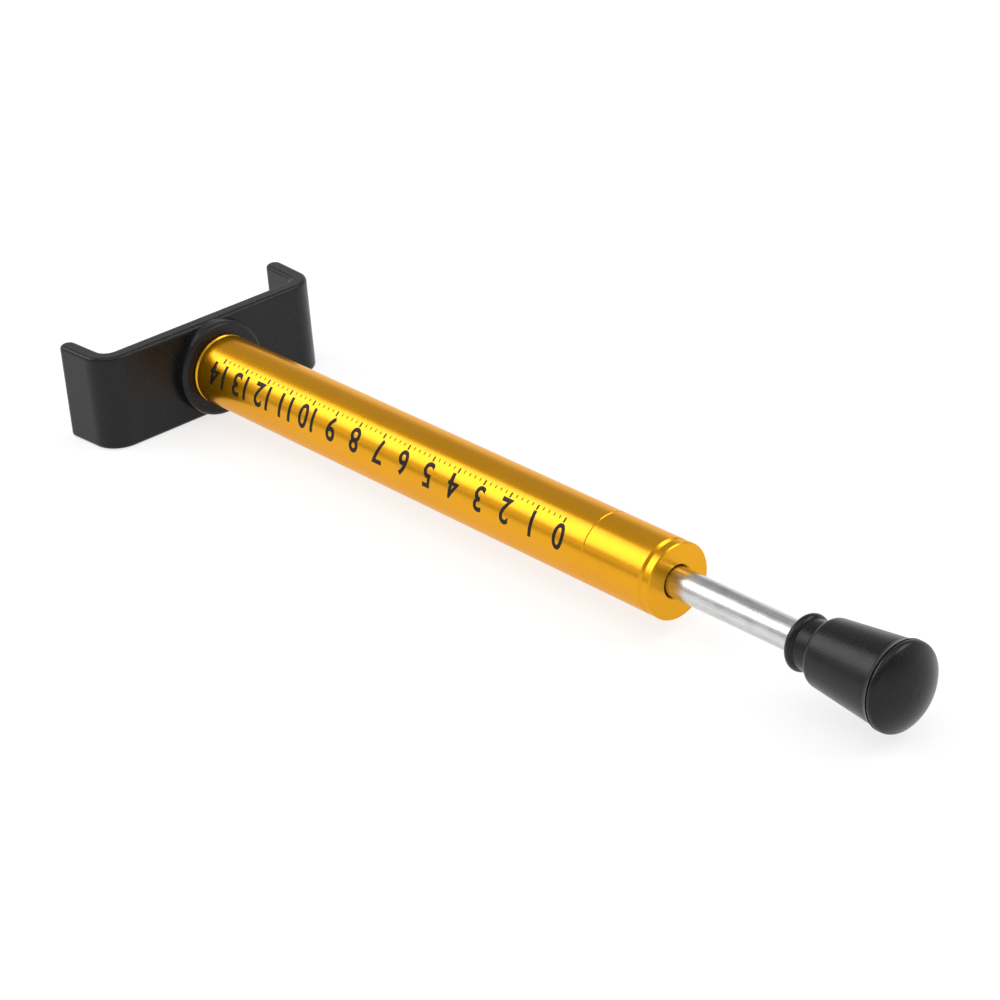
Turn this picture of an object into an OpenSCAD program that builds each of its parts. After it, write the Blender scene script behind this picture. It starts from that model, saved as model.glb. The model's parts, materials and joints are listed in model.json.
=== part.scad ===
// Belt tension tester: a sprung plunger in a round barrel with a U-shaped belt cradle at its front end.
// X runs along the barrel from the cradle to the push knob, Y across the cradle, Z up as the tester lies.
// The origin is on the barrel's axis, in the plane of the belt seat. All lengths are in millimetres.

/* [Barrel] */
// Outside diameter of the barrel tube and of the end cap
barrel_d = 20; // [19:0.5:22]
// Wall thickness of the barrel tube
barrel_wall = 2; // [1.8:0.1:2.2]
// Length of tube between the cradle's collar and the end cap
barrel_show = 159.4; // [145:0.2:175]
// Radial step down to the tube's turned front end, inside the collar
barrel_step = 0.8; // [0.6:0.05:0.9]
// Width of the V-groove at the tube's front shoulder
front_groove_w = 0.95; // [0.4:0.05:1.2]

/* [End cap] */
// Length of the cap from the seam with the tube to its end face
cap_len = 23.7; // [20:0.1:28]
// Length of the cap's spigot inside the tube
cap_spigot_len = 15; // [12:0.5:18]
// Bore in the cap's end face around the plunger rod
cap_mouth_d = 8.5; // [8.4:0.1:9.6]
// Bevel around that bore
cap_mouth_bevel = 0.35; // [0.1:0.05:0.5]
// Depth of the bore from the end face to the rod wiper
cap_mouth_depth = 8; // [6:0.5:10]
// Bore of the pocket for the guide bush
cap_pocket_d = 12; // [11.6:0.1:12.4]
// Distance from the end face to the middle of the turned groove
cap_groove_back = 3; // [2:0.1:4]
// Width of the turned groove at the surface
cap_groove_w = 1.3; // [0.6:0.1:1.6]
// Width of the bevel around the end face
cap_bevel = 0.3; // [0.1:0.05:0.6]
// Bevel on both edges at the seam between tube and cap
seam_bevel = 0.18; // [0.05:0.01:0.3]

/* [Belt cradle] */
// Width across the cradle where its outer faces would meet in sharp corners
cradle_w = 74.7; // [65:0.1:90]
// Height of the plate and of both arms
cradle_h = 27.8; // [27.8:0.1:34]
// Thickness of the plate and of both arms
plate_t = 4.8; // [4.6:0.1:5.6]
// How far the arms reach past the belt seat
arm_reach = 15.5; // [12:0.1:20]
// Radius of the two outer corners
corner_r = 8; // [7.4:0.1:10]
// Outward lean of each arm, in degrees
arm_splay = 3.2; // [0:0.1:5]
// Radius along all long edges
edge_r = 1.1; // [0.6:0.05:1.4]
// Diameter of the raised collar around the barrel
collar_d = 27.6; // [25:0.1:27.6]
// Height of the collar above the plate
collar_h = 3.6; // [2.8:0.1:4]
// Radius on the collar's outer edge
collar_round = 1.5; // [0.8:0.1:2]
// Depth of the socket that holds the front end of the tube
socket_depth = 4.8; // [4.6:0.1:5.2]

/* [Plunger rod and knob] */
// Diameter of the plunger rod
rod_d = 8; // [7.6:0.1:8.2]
// Length of rod between the end cap and the knob at rest
rod_show = 41.5; // [34:0.1:48]
// Largest diameter of the bead around the knob's mouth
bead_d = 14.4; // [14:0.1:15]
// Radius of the bead's section
bead_r = 1.5; // [1.3:0.1:1.6]
// Diameter of the neck between bead and shoulder
neck_d = 12.9; // [12.4:0.1:13.4]
// Diameter of the knob at its shoulder
shoulder_d = 17.5; // [16.8:0.1:18.2]
// Radius of the knob's shoulder
shoulder_r = 2.4; // [2.2:0.1:3]
// Distance from the knob's mouth to the widest point of its shoulder
shoulder_at = 9.3; // [8.4:0.1:10]
// Diameter at the end of the straight taper
taper_end_d = 21.4; // [20.4:0.1:21.8]
// Distance from the knob's mouth to the end of the straight taper
taper_end_at = 27.6; // [26:0.1:28]
// Diameter of the knob's rim
rim_d = 22.6; // [22.2:0.1:23.4]
// Distance from the knob's mouth to the rim
rim_at = 30.7; // [30.2:0.1:31.6]
// Radius of the rounded lip at the rim
lip_r = 1.6; // [1.2:0.1:2]
// Distance from the rim back to the notch behind its lip
lip_notch = 0.9; // [0.6:0.05:1.1]
// Height of the dome above the rim
dome_h = 5.2; // [4.2:0.1:6.5]
// Depth of the rod in the knob
knob_grip = 22; // [20:0.5:23]
// Diameter of the steel disc that the rod pushes on inside the knob
knob_disc_d = 14; // [12:0.5:15]
// Thickness of that disc
knob_disc_t = 1.5; // [1:0.1:2]

/* [Spring] */
// Diameter of the spring wire
wire_d = 1.6; // [1.4:0.1:1.7]
// Number of turns in all, with the closed turn at each end
coil_turns = 16; // [14:1:17]
// Gap between the spring's outside and the tube
spring_side_gap = 0.6; // [0.5:0.05:0.8]

/* [Inner pieces] */
// Length of the front plug in the tube
plug_len = 14; // [12:0.5:18]
// Diameter of the two pins that hold the front plug in the tube
pin_d = 2; // [1.6:0.1:2.2]
// How far each pin reaches into the plug
pin_grip = 2.6; // [2:0.1:3]
// Thickness of the preload shim
shim_t = 0.8; // [0.4:0.1:1.6]
// Bore of the preload shim
shim_bore = 6; // [4:0.5:8]
// Thickness of the spring seat's flange
seat_flange_t = 1.5; // [1.2:0.1:2]
// Length of the spring seat's nose inside the spring
seat_nose_len = 5; // [3:0.5:8]
// Thickness of the stop buffer at the cap's inner end
buffer_t = 2; // [1.5:0.1:3]
// Thickness of the felt wiper
wiper_t = 2; // [1.5:0.1:3]
// Thickness of the retaining ring behind the guide bush
circlip_t = 1; // [0.8:0.1:1.2]
// Depth of the retaining ring's groove
circlip_groove = 0.45; // [0.3:0.05:0.6]
// Radial width of the retaining ring
circlip_w = 1.5; // [1.3:0.1:1.6]
// Distance from the cap's inner end to the retaining ring
circlip_back = 2.5; // [2:0.1:4]
// Opening between the retaining ring's two lugs, in degrees
circlip_open = 40; // [30:1:60]
// Length of the follower's body
follower_len = 12; // [11:0.5:15]
// Length of the follower's nose inside the spring
follower_nose_len = 4; // [3:0.5:6]
// Depth of the rod's full diameter in the follower
rod_seat = 6; // [5:0.5:7]
// Width of the slide ring around the follower
ring_w = 5; // [4:0.5:6]
// Radial thickness of the slide ring
ring_t = 1.2; // [0.8:0.1:1.4]
// Thickness of the thrust washer under the spring
thrust_t = 1; // [0.8:0.1:1.5]

/* [Fasteners] */
// Thread diameter of the two cradle screws
screw_d = 3; // [2.5:0.1:3.2]
// Head diameter of the cradle screws
screw_head_d = 5.8; // [5.4:0.1:6]
// Length of the cradle screws from the head's top
screw_len = 14; // [12:0.5:15]
// Distance between the two cradle screws
screw_pitch = 10; // [9.6:0.1:10.4]
// Width across flats of the hexagon socket in the screw heads
screw_socket = 2; // [1.5:0.1:2]
// How far the heads lie below the belt seat
screw_sink = 0.2; // [0.1:0.05:0.4]
// Thread diameter at the rod's inner end
rod_thread_d = 5; // [4.5:0.1:5]
// Width across flats of the rod nut
nut_af = 8; // [7.5:0.1:8.2]
// Height of the rod nut
nut_h = 4.7; // [4:0.1:5]
// Diameter of the washer under the rod nut
washer_d = 10; // [9:0.1:10.2]
// Thickness of the washer under the rod nut
washer_t = 1; // [0.8:0.1:1.4]

/* [Fits] */
// Radial clearance of fixed turned fits
fit_clear = 0.03; // [0.02:0.01:0.05]
// Radial clearance of threads
thread_clear = 0.05; // [0.03:0.01:0.08]
// Radial running clearance of the rod in its bush and of the slide ring in the tube
running_clear = 0.05; // [0.03:0.01:0.08]
// Radial clearance of pieces that move without guiding
free_clear = 0.25; // [0.2:0.05:0.4]
// Gap between the follower and its buffer at rest
rest_gap = 0.1; // [0.05:0.05:0.2]

/* [Hidden] */
$fn = 96;
// How far cutters reach past a face, and how far joined profiles overlap
over = 1;
lap = 0.01;

barrel_bore = barrel_d - 2 * barrel_wall;
barrel_nose_d = barrel_d - 2 * barrel_step;
pin_sink = 0.15;
thread_tail = 1;

// Stations along the axis, from the cradle to the knob
plate_x = plate_t;
collar_x = plate_x + collar_h;
socket_x = collar_x - socket_depth;
pin_x = socket_x + socket_depth / 2;
plug_end_x = socket_x + plug_len;
shim_end_x = plug_end_x + shim_t;
spring_x0 = shim_end_x + seat_flange_t;
seam_x = collar_x + barrel_show;
face_x = seam_x + cap_len;
spigot_x = seam_x - cap_spigot_len;
pocket_x = face_x - cap_mouth_depth;
wiper_x = pocket_x - wiper_t;
circlip_x = spigot_x + circlip_back;
bush_x = circlip_x + circlip_t;
buffer_x = spigot_x - buffer_t;
follower_back_x = buffer_x - rest_gap;
follower_x = follower_back_x - follower_len;
follower_nose_x = follower_x - follower_nose_len;
spring_x1 = follower_x - thrust_t;
washer_x = follower_nose_x - washer_t;
nut_x = washer_x - nut_h;
rod_end_x = nut_x - thread_tail;
rod_step_x = follower_back_x - rod_seat;
mouth_x = face_x + rod_show;

// Spring
spring_od = barrel_bore - 2 * spring_side_gap;
spring_id = spring_od - 2 * wire_d;
spring_len = spring_x1 - spring_x0;
coil_pitch = (spring_len - wire_d) / (coil_turns - 1.5);
coil_steps = 16;
wire_sides = 8;

// Pieces that run in the tube or sit inside the spring
inner_d = barrel_bore - 2 * free_clear;
nose_d = spring_id - 2 * free_clear;
ring_d = barrel_bore - 2 * running_clear;
ring_groove_d = ring_d - 2 * ring_t;
ring_x = follower_x + (follower_len - ring_w) / 2;
rod_bore_d = rod_d + 2 * running_clear;

// Cradle
corner_x = plate_x - corner_r;
corner_y = cradle_w / 2 - corner_r * tan((90 - arm_splay) / 2);
arm_len = (corner_x + corner_r * sin(arm_splay) + arm_reach) / cos(arm_splay);
arm_inset = 0.01;
arm_root = 0.2;
screw_cone = (screw_head_d - screw_d) / 2;
screw_hole_d = screw_d + 2 * free_clear;

// Knob: the dome runs tangent into the lip
lip_c = rim_d / 2 - lip_r;
dome_r = (dome_h * dome_h + lip_c * lip_c - lip_r * lip_r) / (2 * (dome_h - lip_r));
dome_edge = lip_c * dome_r / (dome_r - lip_r);
flare_out = (rim_d - taper_end_d) / 2;
flare_end = rim_at - lip_notch;
flare_r = (pow(flare_end - taper_end_at, 2) + flare_out * flare_out) / (2 * flare_out);

// Turns a profile drawn as (radius, distance along X) about the X axis
module lathe() {
    rotate([0, 90, 0]) rotate_extrude() children();
}

// Round rod along X from x0 to x1
module rod_x(d, x0, x1) {
    translate([x0, 0, 0]) rotate([0, 90, 0]) cylinder(d = d, h = x1 - x0);
}

// Round ring along X from x0 to x1
module ring_x(od, id, x0, x1) {
    difference() {
        rod_x(od, x0, x1);
        rod_x(id, x0 - over, x1 + over);
    }
}

// Hexagonal bar along X from x0 to x1
module hex_x(af, x0, x1) {
    translate([x0, 0, 0]) rotate([0, 90, 0])
        linear_extrude(height = x1 - x0) circle(d = af / cos(30), $fn = 6);
}

// Rectangle w by h, centred, with round corners
module round_rect(w, h, r) {
    square([w, h - 2 * r], center = true);
    square([w - 2 * r, h], center = true);
    for (sx = [-1, 1], sy = [-1, 1])
        translate([sx * (w / 2 - r), sy * (h / 2 - r)]) circle(r = r);
}

// One arm of the cradle, along Y from its root in the corner, with a half-round tip
module cradle_arm() {
    w = plate_t - 2 * arm_inset;
    h = cradle_h - 2 * arm_inset;
    straight = arm_len + arm_root - w / 2;
    translate([0, -arm_root, 0]) {
        rotate([-90, 0, 0]) linear_extrude(height = straight) round_rect(w, h, edge_r);
        translate([0, straight, 0]) rotate_extrude(angle = 180) intersection() {
            round_rect(w, h, edge_r);
            translate([0, -h / 2]) square([w / 2, h]);
        }
    }
}

// Corner and arm on one side of the cradle
module cradle_side() {
    translate([corner_x, corner_y, 0]) {
        rotate_extrude(angle = 90 - arm_splay)
            translate([corner_r - plate_t / 2, 0]) round_rect(plate_t, cradle_h, edge_r);
        rotate([0, 0, 90 - arm_splay]) translate([corner_r - plate_t / 2, 0, 0]) cradle_arm();
    }
}

// Plate between the two corners
module cradle_plate() {
    translate([plate_t / 2, 0, 0]) rotate([90, 0, 0])
        linear_extrude(height = 2 * corner_y, center = true) round_rect(plate_t, cradle_h, edge_r);
}

// Collar profile with a round outer edge, rooted below the plate's own edge rounding
module collar_profile() {
    root_x = plate_x - 2 * edge_r;
    translate([0, root_x]) square([collar_d / 2, collar_x - collar_round - root_x]);
    translate([0, root_x]) square([collar_d / 2 - collar_round, collar_x - root_x]);
    translate([collar_d / 2 - collar_round, collar_x - collar_round]) circle(r = collar_round);
}

// Countersunk seat and clearance hole of one cradle screw
module screw_hole() {
    translate([screw_sink, 0, 0]) rotate([0, 90, 0])
        cylinder(d1 = screw_head_d, d2 = screw_d, h = screw_cone);
    rod_x(screw_head_d, -over, screw_sink);
    rod_x(screw_hole_d, screw_sink, plate_x + over);
}

module at_screws() {
    for (sy = [-1, 1]) translate([0, sy * screw_pitch / 2, 0]) children();
}

module at_pins() {
    for (sz = [0, 180]) translate([pin_x, 0, 0]) rotate([sz, 0, 0]) children();
}

// Pin body, from inside the plug to just under the tube's surface
module plug_pin() {
    translate([0, 0, barrel_bore / 2 - pin_grip])
        cylinder(d = pin_d, h = pin_grip + (barrel_nose_d - barrel_bore) / 2 - pin_sink);
}

// U-shaped cradle with the collar that takes the barrel
module belt_cradle() {
    color([0.12, 0.12, 0.13])
    difference() {
        union() {
            cradle_plate();
            cradle_side();
            mirror([0, 1, 0]) cradle_side();
            lathe() collar_profile();
        }
        rod_x(barrel_nose_d + 2 * fit_clear, socket_x, collar_x + over);
        at_screws() screw_hole();
    }
}

// Two countersunk screws through the belt seat into the front plug
module cradle_screws() {
    color([0.25, 0.25, 0.27])
    at_screws() difference() {
        union() {
            translate([screw_sink, 0, 0]) rotate([0, 90, 0])
                cylinder(d1 = screw_head_d, d2 = screw_d, h = screw_cone);
            rod_x(screw_d, screw_sink, screw_len);
        }
        hex_x(screw_socket, screw_sink - over, screw_sink + screw_socket / 2);
    }
}

// Plug in the front end of the tube, tapped for the cradle screws
module front_plug() {
    color([0.75, 0.76, 0.78])
    difference() {
        rod_x(barrel_bore - 2 * fit_clear, socket_x, plug_end_x);
        at_screws() rod_x(screw_d + 2 * thread_clear, socket_x - over, screw_len + over);
        at_pins() plug_pin();
    }
}

// Two pins through the tube's front end into the plug
module plug_pins() {
    color([0.6, 0.6, 0.62])
    at_pins() plug_pin();
}

// Tube profile: turned-down front end, V-groove at the shoulder and bevelled back end
module tube_profile() {
    polygon([
        [barrel_bore / 2, socket_x],
        [barrel_nose_d / 2, socket_x],
        [barrel_nose_d / 2, collar_x],
        [barrel_d / 2, collar_x],
        [(barrel_d - front_groove_w) / 2, collar_x + front_groove_w / 2],
        [barrel_d / 2, collar_x + front_groove_w],
        [barrel_d / 2, seam_x - seam_bevel],
        [barrel_d / 2 - seam_bevel, seam_x],
        [barrel_bore / 2, seam_x]
    ]);
}

// Barrel tube
module body_tube() {
    color([0.85, 0.6, 0.1])
    difference() {
        lathe() tube_profile();
        at_pins() plug_pin();
    }
}

// Shim washer that sets the spring's preload
module preload_shim() {
    color([0.7, 0.7, 0.72])
    ring_x(inner_d, shim_bore, plug_end_x, shim_end_x);
}

// Flanged seat that centres the front end of the spring
module spring_seat() {
    color([0.9, 0.9, 0.86])
    union() {
        rod_x(inner_d, shim_end_x, spring_x0);
        rod_x(nose_d, shim_end_x, spring_x0 + seat_nose_len);
    }
}

// Height of the wire's middle after t turns: half a turn lies flat, the next half rises to full pitch
function end_rise(t) = t < 0.5 ? 0 : t < 1 ? coil_pitch * pow(t - 0.5, 2) : coil_pitch * (t - 0.75);
function wire_rise(t) = t < coil_turns / 2 ? end_rise(t)
    : spring_len - wire_d - end_rise(coil_turns - t);
function wire_point(i, k) =
    let (t = i / coil_steps, a = 360 * t, b = 360 * k / wire_sides,
         r = (spring_od - wire_d) / 2 + wire_d / 2 * sin(b))
    [spring_x0 + wire_d / 2 + wire_rise(t) + wire_d / 2 * cos(b), r * cos(a), r * sin(a)];

// Compression spring between its seat and the thrust washer
module main_spring() {
    n = coil_turns * coil_steps;
    points = [for (i = [0 : n], k = [0 : wire_sides - 1]) wire_point(i, k)];
    sides = [for (i = [0 : n - 1], k = [0 : wire_sides - 1])
        let (a = i * wire_sides + k, b = i * wire_sides + (k + 1) % wire_sides)
        [a, b, b + wire_sides, a + wire_sides]];
    first = [for (k = [0 : wire_sides - 1]) wire_sides - 1 - k];
    last = [for (k = [0 : wire_sides - 1]) n * wire_sides + k];
    color([0.55, 0.56, 0.58])
    polyhedron(points, concat([first], sides, [last]), convexity = 10);
}

// End cap with its spigot, the bush pocket and the turned groove
module end_cap() {
    groove_x = face_x - cap_groove_back;
    color([0.85, 0.6, 0.1])
    difference() {
        lathe() polygon([
            [0, spigot_x],
            [barrel_bore / 2 - fit_clear, spigot_x],
            [barrel_bore / 2 - fit_clear, seam_x],
            [barrel_d / 2 - seam_bevel, seam_x],
            [barrel_d / 2, seam_x + seam_bevel],
            [barrel_d / 2, groove_x - cap_groove_w / 2],
            [barrel_d / 2 - cap_groove_w / 2, groove_x],
            [barrel_d / 2, groove_x + cap_groove_w / 2],
            [barrel_d / 2, face_x - cap_bevel],
            [barrel_d / 2 - cap_bevel, face_x],
            [0, face_x]
        ]);
        rod_x(cap_mouth_d, spigot_x - over, face_x + over);
        translate([face_x - cap_mouth_bevel, 0, 0]) rotate([0, 90, 0])
            cylinder(d1 = cap_mouth_d, d2 = cap_mouth_d + 4 * cap_mouth_bevel, h = 2 * cap_mouth_bevel);
        rod_x(cap_pocket_d, spigot_x - over, pocket_x);
        rod_x(cap_pocket_d + 2 * circlip_groove, circlip_x, bush_x);
    }
}

// Plain bush that guides the rod
module guide_bush() {
    color([0.72, 0.5, 0.25])
    ring_x(cap_pocket_d - 2 * fit_clear, rod_bore_d, bush_x, wiper_x);
}

// Felt ring that keeps dirt off the bush
module rod_wiper() {
    color([0.3, 0.3, 0.28])
    ring_x(cap_pocket_d - 2 * fit_clear, rod_bore_d, wiper_x, pocket_x);
}

// Open retaining ring in its groove behind the bush
module bush_circlip() {
    ring_or = cap_pocket_d / 2 + circlip_groove - fit_clear;
    color([0.35, 0.35, 0.37])
    rotate([0, 90, 0]) rotate([0, 0, circlip_open / 2])
        translate([0, 0, circlip_x]) rotate_extrude(angle = 360 - circlip_open)
            translate([ring_or - circlip_w, 0]) square([circlip_w, circlip_t]);
}

// Soft ring at the cap's inner end that stops the follower
module stop_buffer() {
    color([0.15, 0.15, 0.15])
    ring_x(inner_d, rod_d + 4 * free_clear, buffer_x, spigot_x);
}

// Steel washer between the spring and the follower, on which the plunger can turn
module thrust_washer() {
    color([0.7, 0.7, 0.72])
    ring_x(inner_d, nose_d + 2 * free_clear, spring_x1, follower_x);
}

// Follower that takes the spring's force to the rod
module follower() {
    color([0.75, 0.76, 0.78])
    difference() {
        union() {
            rod_x(inner_d, follower_x, follower_back_x);
            rod_x(nose_d, follower_nose_x, follower_x + over);
        }
        ring_x(inner_d + over, ring_groove_d, ring_x, ring_x + ring_w);
        rod_x(rod_d + 2 * fit_clear, rod_step_x, follower_back_x + over);
        rod_x(rod_thread_d + 2 * thread_clear, follower_nose_x - over, rod_step_x + over);
    }
}

// Ring that slides along the tube
module slide_ring() {
    color([0.92, 0.92, 0.9])
    ring_x(ring_d, ring_groove_d, ring_x, ring_x + ring_w);
}

// Flat washer under the rod nut
module follower_washer() {
    color([0.7, 0.7, 0.72])
    ring_x(washer_d, rod_thread_d + 2 * thread_clear, washer_x, follower_nose_x);
}

// Nut that holds the follower on the rod
module follower_nut() {
    color([0.6, 0.6, 0.62])
    difference() {
        hex_x(nut_af, nut_x, washer_x);
        rod_x(rod_thread_d + 2 * thread_clear, nut_x - over, washer_x + over);
    }
}

// Plunger rod with its threaded inner end
module plunger_rod() {
    end_bevel = 0.4;
    outer_x = mouth_x + knob_grip;
    color([0.85, 0.86, 0.88])
    lathe() polygon([
        [0, rod_end_x],
        [rod_thread_d / 2 - end_bevel, rod_end_x],
        [rod_thread_d / 2, rod_end_x + end_bevel],
        [rod_thread_d / 2, rod_step_x],
        [rod_d / 2, rod_step_x],
        [rod_d / 2, outer_x - end_bevel],
        [rod_d / 2 - end_bevel, outer_x],
        [0, outer_x]
    ]);
}

// Knob profile: bead, neck, shoulder, taper, flare, lip and dome
module knob_profile() {
    square([bead_d / 2 - bead_r, 2 * bead_r]);
    translate([bead_d / 2 - bead_r, bead_r]) circle(r = bead_r);
    translate([0, bead_r]) square([neck_d / 2, shoulder_at - bead_r]);
    translate([shoulder_d / 2 - shoulder_r, shoulder_at]) circle(r = shoulder_r);
    polygon([
        [0, shoulder_at],
        [shoulder_d / 2, shoulder_at],
        [taper_end_d / 2, taper_end_at],
        [taper_end_d / 2, flare_end],
        [lip_c, flare_end],
        [lip_c, rim_at],
        [0, rim_at]
    ]);
    difference() {
        translate([taper_end_d / 2 - lap, taper_end_at])
            square([flare_out + lap, flare_end - taper_end_at]);
        translate([taper_end_d / 2 + flare_r, taper_end_at]) circle(r = flare_r);
    }
    translate([lip_c, rim_at]) circle(r = lip_r);
    intersection() {
        translate([0, rim_at + dome_h - dome_r]) circle(r = dome_r);
        translate([0, rim_at - lap]) square([dome_edge, dome_h + 2 * lap]);
    }
}

// Rubber push knob on the rod's outer end
module push_knob() {
    color([0.13, 0.13, 0.14])
    difference() {
        translate([mouth_x, 0, 0]) lathe() knob_profile();
        rod_x(rod_d, mouth_x - over, mouth_x + knob_grip);
        rod_x(knob_disc_d, mouth_x + knob_grip, mouth_x + knob_grip + knob_disc_t);
    }
}

// Steel disc moulded into the knob behind the rod's end
module knob_disc() {
    color([0.6, 0.6, 0.62])
    rod_x(knob_disc_d, mouth_x + knob_grip, mouth_x + knob_grip + knob_disc_t);
}

belt_cradle();
cradle_screws();
front_plug();
plug_pins();
body_tube();
preload_shim();
spring_seat();
main_spring();
end_cap();
guide_bush();
rod_wiper();
bush_circlip();
stop_buffer();
thrust_washer();
follower();
slide_ring();
follower_washer();
follower_nut();
plunger_rod();
push_knob();
knob_disc();
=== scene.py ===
import json
import math
import bpy
import bmesh
from mathutils import Matrix, Vector


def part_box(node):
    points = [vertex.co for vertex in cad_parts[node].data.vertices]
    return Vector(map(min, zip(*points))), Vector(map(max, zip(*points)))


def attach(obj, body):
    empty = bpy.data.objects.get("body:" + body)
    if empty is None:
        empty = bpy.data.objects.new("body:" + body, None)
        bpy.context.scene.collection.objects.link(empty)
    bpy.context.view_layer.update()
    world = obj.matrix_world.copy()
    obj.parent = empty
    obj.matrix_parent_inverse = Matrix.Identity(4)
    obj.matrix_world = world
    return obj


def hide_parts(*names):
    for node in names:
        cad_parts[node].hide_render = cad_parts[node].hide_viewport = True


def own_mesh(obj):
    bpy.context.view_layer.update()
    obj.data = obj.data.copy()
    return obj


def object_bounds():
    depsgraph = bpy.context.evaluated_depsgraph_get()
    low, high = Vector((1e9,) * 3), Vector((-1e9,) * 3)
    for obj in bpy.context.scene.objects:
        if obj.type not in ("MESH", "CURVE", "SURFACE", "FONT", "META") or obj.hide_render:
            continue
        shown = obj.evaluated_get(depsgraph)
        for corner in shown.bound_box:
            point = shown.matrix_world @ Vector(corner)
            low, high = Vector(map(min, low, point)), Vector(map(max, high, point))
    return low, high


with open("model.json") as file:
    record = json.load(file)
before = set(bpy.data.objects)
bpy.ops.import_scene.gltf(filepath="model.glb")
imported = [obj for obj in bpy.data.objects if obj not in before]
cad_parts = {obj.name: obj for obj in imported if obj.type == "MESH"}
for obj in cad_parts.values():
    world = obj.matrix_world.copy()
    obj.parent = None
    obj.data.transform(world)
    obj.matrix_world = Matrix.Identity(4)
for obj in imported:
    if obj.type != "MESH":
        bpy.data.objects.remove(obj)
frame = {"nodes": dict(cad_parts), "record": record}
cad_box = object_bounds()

MM = 0.001
scene = bpy.context.scene
scene.view_settings.view_transform = "Standard"

# Camera: angles in degrees, lens and sensor in millimetres, place and clip distances in metres
CAMERA_AZIMUTH = 51.107
CAMERA_ELEVATION = 27.534
CAMERA_ROLL = -4.643
CAMERA_AT = Vector((668.254, -437.138, 362.428)) * MM
CAMERA_LENS = 111.171
CAMERA_SENSOR = 36.0
CAMERA_CLIP = (0.01, 20.0)

# Floor: half its side, its gap under the tester, its grey and its own glow
FLOOR_HALF = 4.0
FLOOR_GAP = 0.2 * MM
FLOOR_GREY = (0.34, 0.34, 0.34, 1)
FLOOR_GLOW = 0.76

# World: white, the room's grey, and the heights between which the one fades into the other
WHITE = (1, 1, 1, 1)
CEILING = (0.42, 0.42, 0.4242, 1)
HORIZON_FADE = (0.16, 0.42)

# Point on the barrel's axis that the lamps and the card face
LAMP_TARGET = Vector((0.12, 0, 0))

# Barrel that the scene's own pieces sit on and in
BARREL_R = 10.0 * MM
BARREL_BORE_R = 8.0 * MM

# Spring: its ends, the radius of its wire, its play in the barrel and its turns
SPRING_X0, SPRING_X1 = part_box("main_spring")[0].x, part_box("main_spring")[1].x
WIRE_R = 0.8 * MM
SPRING_PLAY = 0.6 * MM
SPRING_TURNS = 16

# Part of a turn that lies flat at each end of the spring, and part over which its pitch then grows
FLAT_TURN = 0.5
LEAD_TURN = 0.5

# Steps of the spring's mesh, along and around its wire
RINGS_PER_TURN = 28
WIRE_SIDES = 12

# Printed scale: its length in centimetres, its place on the barrel and half its width
SCALE_CM = 14
SCALE_ZERO_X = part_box("body_tube")[1].x - 9.0 * MM
SCALE_MIDDLE = math.radians(149.5)
SCALE_HALF = 4.3 * MM

# Radius of the ink, and width of the strips in which it is wrapped round the barrel
INK_R = BARREL_R + 0.012 * MM
STRIP_W = 0.35 * MM

# Numbers of the scale: height, width against the font's own, and stroke added in parts of the font's size
DIGIT_H = 6.9 * MM
DIGIT_WIDTH = 0.86
DIGIT_STROKE = 0.02

# Steps in each curved stretch of a number
DIGIT_ARC_STEPS = 6

# Ticks of the scale: millimetres from one to the next, then half width and length
TICK_EVERY = 2
LONG_TICK = (0.28 * MM, 1.5 * MM)
SHORT_TICK = (0.16 * MM, 0.9 * MM)


def direction(azimuth, elevation):
    """Unit vector from the tester towards a camera, lamp or card, from angles in degrees."""
    a, e = math.radians(azimuth), math.radians(elevation)
    return Vector((math.sin(a) * math.cos(e), -math.cos(a) * math.cos(e), math.sin(e)))


# Camera
def add_camera():
    back = direction(CAMERA_AZIMUTH, CAMERA_ELEVATION)
    level = Vector((0, 0, 1)).cross(back).normalized()
    upright = back.cross(level)
    roll = math.radians(CAMERA_ROLL)
    right = math.cos(roll) * level + math.sin(roll) * upright
    up = math.cos(roll) * upright - math.sin(roll) * level
    data = bpy.data.cameras.new("camera")
    data.sensor_width = CAMERA_SENSOR
    data.lens = CAMERA_LENS
    data.clip_start, data.clip_end = CAMERA_CLIP
    cam = bpy.data.objects.new("camera", data)
    scene.collection.objects.link(cam)
    rotation = Matrix((right, up, back)).transposed()
    cam.matrix_world = Matrix.Translation(CAMERA_AT) @ rotation.to_4x4()
    scene.camera = cam


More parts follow.
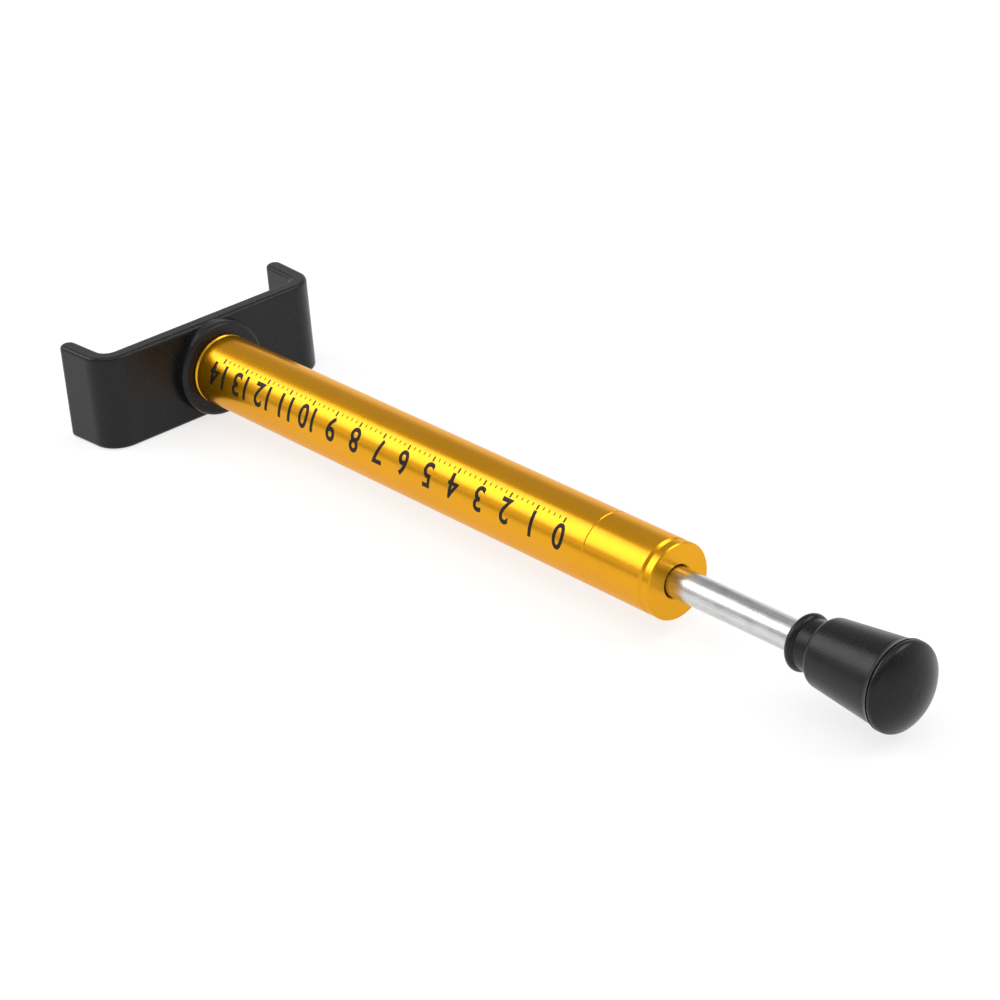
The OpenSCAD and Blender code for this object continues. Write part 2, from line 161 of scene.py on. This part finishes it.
# Materials
class Shader:
    """A Principled material whose colour, roughness and bump come from textures in object space."""

    def __init__(self, name, **constants):
        self.mat = bpy.data.materials.new(name)
        self.mat.use_nodes = True
        self.tree = self.mat.node_tree
        self.bsdf = self.tree.nodes["Principled BSDF"]
        for socket, value in constants.items():
            self.bsdf.inputs[socket.replace("_", " ")].default_value = value
        self.coord = self.tree.nodes.new("ShaderNodeTexCoord")

    def node(self, kind, **settings):
        n = self.tree.nodes.new(kind)
        for key, value in settings.items():
            setattr(n, key, value)
        return n

    def link(self, a, b):
        self.tree.links.new(a, b)

    def mapped(self, scale):
        m = self.node("ShaderNodeMapping")
        m.inputs["Scale"].default_value = scale
        self.link(self.coord.outputs["Object"], m.inputs["Vector"])
        return m.outputs["Vector"]

    def noise(self, scale, detail=4.0, rough=0.55, stretch=(1, 1, 1)):
        """Noise with its scale in cells per metre, times stretch along each axis."""
        n = self.node("ShaderNodeTexNoise")
        n.inputs["Scale"].default_value = 1.0
        n.inputs["Detail"].default_value = detail
        n.inputs["Roughness"].default_value = rough
        self.link(self.mapped(tuple(scale * k for k in stretch)), n.inputs["Vector"])
        return n.outputs["Fac"]

    def ramp(self, fac, stops):
        r = self.node("ShaderNodeValToRGB")
        elements = r.color_ramp.elements
        while len(elements) < len(stops):
            elements.new(0.5)
        for element, (position, colour) in zip(elements, stops):
            element.position = position
            element.color = (*colour, 1.0)
        self.link(fac, r.inputs["Fac"])
        return r.outputs["Color"]

    def spread(self, fac, low, high, frm=(0.3, 0.7)):
        """Maps the range frm of a texture to low and high."""
        m = self.node("ShaderNodeMapRange")
        m.inputs["From Min"].default_value, m.inputs["From Max"].default_value = frm
        m.inputs["To Min"].default_value, m.inputs["To Max"].default_value = low, high
        self.link(fac, m.inputs["Value"])
        return m.outputs["Result"]

    def mix(self, fac, a, b):
        """Blend of two colours, each a tuple or another node's output."""
        m = self.node("ShaderNodeMix", data_type="RGBA")
        self.link(fac, m.inputs["Factor"])
        for value, socket in ((a, m.inputs["A"]), (b, m.inputs["B"])):
            if isinstance(value, tuple):
                socket.default_value = (*value, 1.0)
            else:
                self.link(value, socket)
        return m.outputs["Result"]

    def sum(self, a, b, weight):
        """a plus weight times b."""
        m = self.node("ShaderNodeMath", operation="MULTIPLY_ADD")
        self.link(b, m.inputs[0])
        m.inputs[1].default_value = weight
        self.link(a, m.inputs[2])
        return m.outputs["Value"]

    def colour(self, out):
        self.link(out, self.bsdf.inputs["Base Color"])

    def roughness(self, out):
        self.link(out, self.bsdf.inputs["Roughness"])

    def bump(self, height, depth, strength):
        b = self.node("ShaderNodeBump")
        b.inputs["Strength"].default_value = strength
        b.inputs["Distance"].default_value = depth
        self.link(height, b.inputs["Height"])
        self.link(b.outputs["Normal"], self.bsdf.inputs["Normal"])


def gold_anodised():
    """Turned aluminium under a gold layer, with lathe lines, faint clouds and a few darker specks."""
    s = Shader("gold_anodised", Metallic=0.84, Specular_Tint=(1.0, 0.72, 0.25, 1.0), Coat_Weight=0.22,
               Coat_Roughness=0.12, Coat_IOR=1.6)
    lines = s.noise(5200, detail=3.0, rough=0.6, stretch=(1, 0.01, 0.01))
    cloud = s.noise(45, detail=3.0)
    specks = s.noise(420, detail=2.0, rough=0.5)
    base = s.mix(s.spread(cloud, 0, 1), (0.82, 0.368, 0.001), (0.86, 0.394, 0.002))
    s.colour(s.mix(s.spread(specks, 0, 0.35, frm=(0.70, 0.80)), base, (0.65, 0.265, 0.003)))
    s.roughness(s.spread(s.sum(lines, cloud, weight=0.4), 0.22, 0.28, frm=(0.45, 0.95)))
    s.bump(lines, depth=0.0015 * MM, strength=0.12)
    return s.mat


def plated_rod():
    """Plated bar with streaks along its length and dull blotches."""
    s = Shader("plated_rod", Metallic=1.0)
    streaks = s.noise(900, detail=4.0, rough=0.6, stretch=(0.012, 1, 1))
    blotch = s.noise(420, detail=4.0, rough=0.65, stretch=(0.35, 1, 1))
    greys = ((0.62, (0.50, 0.505, 0.51)), (0.80, (0.64, 0.645, 0.65)), (0.98, (0.76, 0.765, 0.77)))
    s.colour(s.ramp(s.sum(streaks, blotch, weight=0.6), greys))
    s.roughness(s.spread(s.sum(streaks, blotch, weight=0.8), 0.20, 0.34, frm=(0.65, 1.15)))
    s.bump(s.sum(streaks, blotch, weight=0.4), depth=0.006 * MM, strength=0.3)
    return s.mat


def moulded_black(name, low, high, rough, grain, specular):
    """Black plastic or rubber with a fine moulded grain and a trace of dust."""
    s = Shader(name, Specular_IOR_Level=specular)
    cloud = s.noise(90, detail=4.0)
    fine = s.noise(grain, detail=3.0, rough=0.6)
    dust = s.noise(2200, detail=2.0, rough=0.5)
    base = s.mix(s.spread(cloud, 0, 1), low, high)
    s.colour(s.mix(s.spread(dust, 0, 0.3, frm=(0.52, 0.72)), base, (0.055, 0.055, 0.057)))
    s.roughness(s.spread(s.sum(cloud, fine, weight=0.5), *rough, frm=(0.5, 1.0)))
    s.bump(fine, depth=0.06 * MM, strength=0.6)
    return s.mat


def worked_metal(name, low, high, rough, stretch):
    """Bare metal with the lines of the tool that made it."""
    s = Shader(name, Metallic=1.0)
    lines = s.noise(1800, detail=3.0, rough=0.6, stretch=stretch)
    cloud = s.noise(300, detail=3.0)
    s.colour(s.mix(s.spread(cloud, 0, 1), low, high))
    s.roughness(s.spread(s.sum(lines, cloud, weight=0.5), *rough, frm=(0.5, 1.0)))
    s.bump(lines, depth=0.005 * MM, strength=0.3)
    return s.mat


def plain_soft(name, low, high, rough, grain, depth):
    """Nylon or felt with an even grain."""
    s = Shader(name)
    fine = s.noise(grain, detail=4.0, rough=0.65)
    s.colour(s.mix(s.spread(fine, 0, 1), low, high))
    s.roughness(s.spread(fine, *rough))
    s.bump(fine, depth=depth, strength=0.4)
    return s.mat


def scale_ink():
    """Black ink, slightly cloudy."""
    s = Shader("scale_ink", Specular_IOR_Level=0.2)
    cloud = s.noise(400, detail=4.0)
    s.colour(s.mix(s.spread(cloud, 0, 1), (0.012, 0.009, 0.006), (0.024, 0.018, 0.011)))
    s.roughness(s.spread(cloud, 0.34, 0.48))
    return s.mat


def make_materials():
    """One material for each of the record's slots."""
    turned = (1, 0.02, 0.02)
    even = (1, 1, 1)
    return {
        "gold_anodised": gold_anodised(),
        "plated_rod": plated_rod(),
        "cradle_black": moulded_black(
            "cradle_black", low=(0.009, 0.0092, 0.0098), high=(0.015, 0.0152, 0.016),
            rough=(0.22, 0.38), grain=2200, specular=0.27),
        "black_rubber": moulded_black(
            "black_rubber", low=(0.004, 0.0042, 0.0046), high=(0.007, 0.0072, 0.0078),
            rough=(0.22, 0.34), grain=2000, specular=0.32),
        "black_steel": worked_metal(
            "black_steel", low=(0.05, 0.05, 0.055), high=(0.08, 0.08, 0.085),
            rough=(0.3, 0.45), stretch=turned),
        "plain_aluminium": worked_metal(
            "plain_aluminium", low=(0.66, 0.67, 0.69), high=(0.76, 0.77, 0.78),
            rough=(0.25, 0.4), stretch=turned),
        "bright_steel": worked_metal(
            "bright_steel", low=(0.55, 0.56, 0.58), high=(0.64, 0.65, 0.66),
            rough=(0.22, 0.38), stretch=turned),
        "spring_steel": worked_metal(
            "spring_steel", low=(0.36, 0.37, 0.39), high=(0.46, 0.47, 0.48),
            rough=(0.25, 0.4), stretch=even),
        "bronze": worked_metal(
            "bronze", low=(0.42, 0.24, 0.09), high=(0.52, 0.31, 0.13),
            rough=(0.35, 0.5), stretch=turned),
        "white_nylon": plain_soft(
            "white_nylon", low=(0.72, 0.71, 0.66), high=(0.80, 0.79, 0.74),
            rough=(0.4, 0.55), grain=1500, depth=0.01 * MM),
        "felt": plain_soft(
            "felt", low=(0.12, 0.115, 0.10), high=(0.20, 0.19, 0.17),
            rough=(0.85, 0.95), grain=4000, depth=0.08 * MM),
    }


def paint_nodes(mats):
    """Gives each solid the material of its slot."""
    for part in frame["record"]["subparts"]:
        obj = frame["nodes"][part["node"]]
        obj.data.materials.clear()
        obj.data.materials.append(mats[part["material_slot"]])


def add_piece(name, bm, mat, body):
    mesh = bpy.data.meshes.new(name)
    bm.to_mesh(mesh)
    bm.free()
    mesh.materials.append(mat)
    obj = bpy.data.objects.new(name, mesh)
    scene.collection.objects.link(obj)
    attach(obj, body)
    return obj


# Spring that takes the place of the part's spring, built at one fixed length
def add_spring(mat):
    coil_r = BARREL_BORE_R - SPRING_PLAY - WIRE_R
    length = SPRING_X1 - SPRING_X0
    climb = length - 2 * WIRE_R
    idle = FLAT_TURN + LEAD_TURN / 2
    pitch = climb / (SPRING_TURNS - 2 * idle)

    def end_rise(t):
        if t < FLAT_TURN:
            return 0.0
        if t < FLAT_TURN + LEAD_TURN:
            return pitch * (t - FLAT_TURN) ** 2 / (2 * LEAD_TURN)
        return pitch * (t - idle)

    def rise(t):
        if t < SPRING_TURNS / 2:
            return end_rise(t)
        return climb - end_rise(SPRING_TURNS - t)

    bm = bmesh.new()
    rings = []
    for i in range(SPRING_TURNS * RINGS_PER_TURN + 1):
        t = i / RINGS_PER_TURN
        a = 2 * math.pi * t
        ring = []
        for k in range(WIRE_SIDES):
            b = 2 * math.pi * k / WIRE_SIDES
            r = coil_r + WIRE_R * math.sin(b)
            x = SPRING_X0 + WIRE_R + rise(t) + WIRE_R * math.cos(b)
            ring.append(bm.verts.new((x, r * math.cos(a), r * math.sin(a))))
        rings.append(ring)
    for p, q in zip(rings, rings[1:]):
        for k in range(WIRE_SIDES):
            after = (k + 1) % WIRE_SIDES
            bm.faces.new((p[k], p[after], q[after], q[k]))
    bm.faces.new(rings[0][::-1])
    bm.faces.new(rings[-1])
    bmesh.ops.recalc_face_normals(bm, faces=bm.faces)
    for face in bm.faces:
        face.smooth = len(face.verts) == 4
    obj = add_piece("coil_spring", bm, mat, "body")
    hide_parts("main_spring")
    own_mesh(obj)


# Printed centimetre scale: flat outlines are cut into narrow strips and wrapped round the barrel
def embolden(mesh, by):
    """Moves the outline of a flat mesh outwards by a width, with a limit at sharp corners."""
    weld, least_lean = 1e-5, 0.5
    flat = bmesh.new()
    flat.from_mesh(mesh)
    bmesh.ops.remove_doubles(flat, verts=flat.verts, dist=weld)
    sides = {}
    for edge in flat.edges:
        if edge.is_boundary:
            loop = edge.link_loops[0]
            along = (loop.link_loop_next.vert.co - loop.vert.co).normalized()
            for vert in edge.verts:
                sides.setdefault(vert, []).append(along.cross(loop.face.normal))
    for vert, normals in sides.items():
        middle = sum(normals, Vector()).normalized()
        vert.co += middle * by / max(least_lean, middle.dot(normals[0]))
    flat.to_mesh(mesh)
    flat.free()


def add_number(bm, text, u):
    """Adds a number to the flat scale, with its middle at u along it and its top at the scale's edge."""
    curve = bpy.data.curves.new("digits", "FONT")
    curve.body = text
    curve.resolution_u = DIGIT_ARC_STEPS
    curve.align_x = "CENTER"
    obj = bpy.data.objects.new("digits", curve)
    scene.collection.objects.link(obj)
    bpy.context.view_layer.update()
    mesh = bpy.data.meshes.new_from_object(obj.evaluated_get(bpy.context.evaluated_depsgraph_get()))
    bpy.data.objects.remove(obj)
    embolden(mesh, DIGIT_STROKE)
    low = min(v.co.y for v in mesh.vertices)
    high = max(v.co.y for v in mesh.vertices)
    k = DIGIT_H / (high - low)
    base = SCALE_HALF - DIGIT_H
    for v in mesh.vertices:
        v.co = Vector((u + v.co.x * k * DIGIT_WIDTH, base + (v.co.y - low) * k, 0))
    bm.from_mesh(mesh)
    bpy.data.meshes.remove(mesh)


def add_tick(bm, u, half_width, length):
    low, high = -SCALE_HALF, -SCALE_HALF + length
    left, right = u - half_width, u + half_width
    quad = [(left, low, 0), (right, low, 0), (right, high, 0), (left, high, 0)]
    bm.faces.new([bm.verts.new(corner) for corner in quad])


def add_scale(mat):
    bm = bmesh.new()
    for cm in range(SCALE_CM + 1):
        add_number(bm, str(cm), cm * 10 * MM)
    for mm in range(0, SCALE_CM * 10 + 1, TICK_EVERY):
        add_tick(bm, mm * MM, *(LONG_TICK if mm % 10 == 0 else SHORT_TICK))
    cut = -SCALE_HALF
    while cut < SCALE_HALF:
        bmesh.ops.bisect_plane(bm, geom=bm.verts[:] + bm.edges[:] + bm.faces[:], plane_co=(0, cut, 0),
                               plane_no=(0, 1, 0))
        cut += STRIP_W
    for vert in bm.verts:
        u, v, _ = vert.co
        a = SCALE_MIDDLE + v / BARREL_R
        vert.co = (SCALE_ZERO_X - u, INK_R * math.cos(a), INK_R * math.sin(a))
    bm.normal_update()
    for face in bm.faces:
        c = face.calc_center_median()
        if face.normal.y * c.y + face.normal.z * c.z < 0:
            face.normal_flip()
    add_piece("barrel_scale", bm, mat, "body")


# Floor, world, lamps and card
def math_node(tree, operation, a, b):
    """Output of a Math node, whose inputs are numbers or other nodes' outputs."""
    n = tree.nodes.new("ShaderNodeMath")
    n.operation = operation
    for value, socket in ((a, n.inputs[0]), (b, n.inputs[1])):
        if isinstance(value, float):
            socket.default_value = value
        else:
            tree.links.new(value, socket)
    return n.outputs["Value"]


def shown(tree):
    """1 for rays that show the background: straight to the camera, in metal and through clear pieces."""
    path = tree.nodes.new("ShaderNodeLightPath")
    out = path.outputs["Is Camera Ray"]
    for name in ("Is Glossy Ray", "Is Transmission Ray"):
        out = math_node(tree, "MAXIMUM", out, path.outputs[name])
    return out


def glow_node(tree, kind, colour):
    """An Emission or Background node of one colour."""
    n = tree.nodes.new(kind)
    n.inputs["Color"].default_value = colour
    return n


def blank_material(name):
    """Material with an output node and nothing else."""
    mat = bpy.data.materials.new(name)
    mat.use_nodes = True
    mat.node_tree.nodes.clear()
    return mat, mat.node_tree, mat.node_tree.nodes.new("ShaderNodeOutputMaterial")


def add_rectangle(name, half_w, half_h, z, mat):
    mesh = bpy.data.meshes.new(name)
    corners = [(-half_w, -half_h, z), (half_w, -half_h, z), (half_w, half_h, z), (-half_w, half_h, z)]
    mesh.from_pydata(corners, [], [(0, 1, 2, 3)])
    mesh.materials.append(mat)
    obj = bpy.data.objects.new(name, mesh)
    scene.collection.objects.link(obj)
    return obj


def add_floor():
    """Grey floor that takes the shadows, with a glow that lifts it to white where it shows."""
    mat, tree, out = blank_material("floor_white")
    lit = tree.nodes.new("ShaderNodeBsdfDiffuse")
    lit.inputs["Color"].default_value = FLOOR_GREY
    glow = glow_node(tree, "ShaderNodeEmission", WHITE)
    tree.links.new(math_node(tree, "MULTIPLY", shown(tree), FLOOR_GLOW), glow.inputs["Strength"])
    both = tree.nodes.new("ShaderNodeAddShader")
    tree.links.new(lit.outputs["BSDF"], both.inputs[0])
    tree.links.new(glow.outputs["Emission"], both.inputs[1])
    tree.links.new(both.outputs["Shader"], out.inputs["Surface"])
    floor = add_rectangle("floor", FLOOR_HALF, FLOOR_HALF, cad_box[0].z - FLOOR_GAP, mat)


def add_world():
    """Grey room that shows as white at the horizon and below."""
    world = bpy.data.worlds.new("studio")
    world.use_nodes = True
    tree = world.node_tree
    tree.nodes.clear()
    out = tree.nodes.new("ShaderNodeOutputWorld")
    coord = tree.nodes.new("ShaderNodeTexCoord")
    split = tree.nodes.new("ShaderNodeSeparateXYZ")
    tree.links.new(coord.outputs["Generated"], split.inputs["Vector"])
    height = tree.nodes.new("ShaderNodeMapRange")
    height.interpolation_type = "SMOOTHSTEP"
    height.inputs["From Min"].default_value, height.inputs["From Max"].default_value = HORIZON_FADE
    tree.links.new(split.outputs["Z"], height.inputs["Value"])
    low = math_node(tree, "SUBTRACT", 1.0, height.outputs["Result"])
    room = glow_node(tree, "ShaderNodeBackground", CEILING)
    white = glow_node(tree, "ShaderNodeBackground", WHITE)
    mix = tree.nodes.new("ShaderNodeMixShader")
    tree.links.new(math_node(tree, "MULTIPLY", low, shown(tree)), mix.inputs["Fac"])
    tree.links.new(room.outputs["Background"], mix.inputs[1])
    tree.links.new(white.outputs["Background"], mix.inputs[2])
    tree.links.new(mix.outputs["Shader"], out.inputs["Surface"])
    scene.world = world


def aim(obj, azimuth, elevation, distance):
    """Places a lamp or card around the tester and turns its face to it."""
    back = direction(azimuth, elevation)
    obj.location = LAMP_TARGET + back * distance
    obj.rotation_mode = "QUATERNION"
    obj.rotation_quaternion = back.to_track_quat("Z", "Y")


def add_flag(name, azimuth, elevation, distance, size, grey):
    """Grey card that shows in reflections only."""
    mat, tree, out = blank_material(name)
    card = glow_node(tree, "ShaderNodeEmission", (grey, grey, grey, 1))
    tree.links.new(card.outputs["Emission"], out.inputs["Surface"])
    flag = add_rectangle(name, size[0] / 2, size[1] / 2, 0, mat)
    aim(flag, azimuth, elevation, distance)
    flag.visible_camera = flag.visible_diffuse = flag.visible_shadow = False


def add_softbox(name, azimuth, elevation, distance, size, radiance):
    """Area lamp whose face is as bright as radiance, whatever its size."""
    data = bpy.data.lights.new(name, "AREA")
    data.shape = "RECTANGLE"
    data.size, data.size_y = size
    data.energy = radiance * math.pi * size[0] * size[1]
    lamp = bpy.data.objects.new(name, data)
    scene.collection.objects.link(lamp)
    aim(lamp, azimuth, elevation, distance)


add_camera()
materials = make_materials()
paint_nodes(materials)
add_spring(materials["spring_steel"])
add_scale(scale_ink())
add_floor()
add_world()
add_flag("horizon_flag", azimuth=-40, elevation=5, distance=1.5, size=(1.6, 0.22), grey=0.45)
add_softbox("key_box", azimuth=-58, elevation=37, distance=1.3, size=(0.82, 0.70), radiance=2.7)
add_softbox("top_box", azimuth=40, elevation=82, distance=1.4, size=(1.2, 1.2), radiance=0.9)
add_softbox("rim_box", azimuth=140, elevation=46, distance=1.2, size=(0.8, 0.5), radiance=3.2)
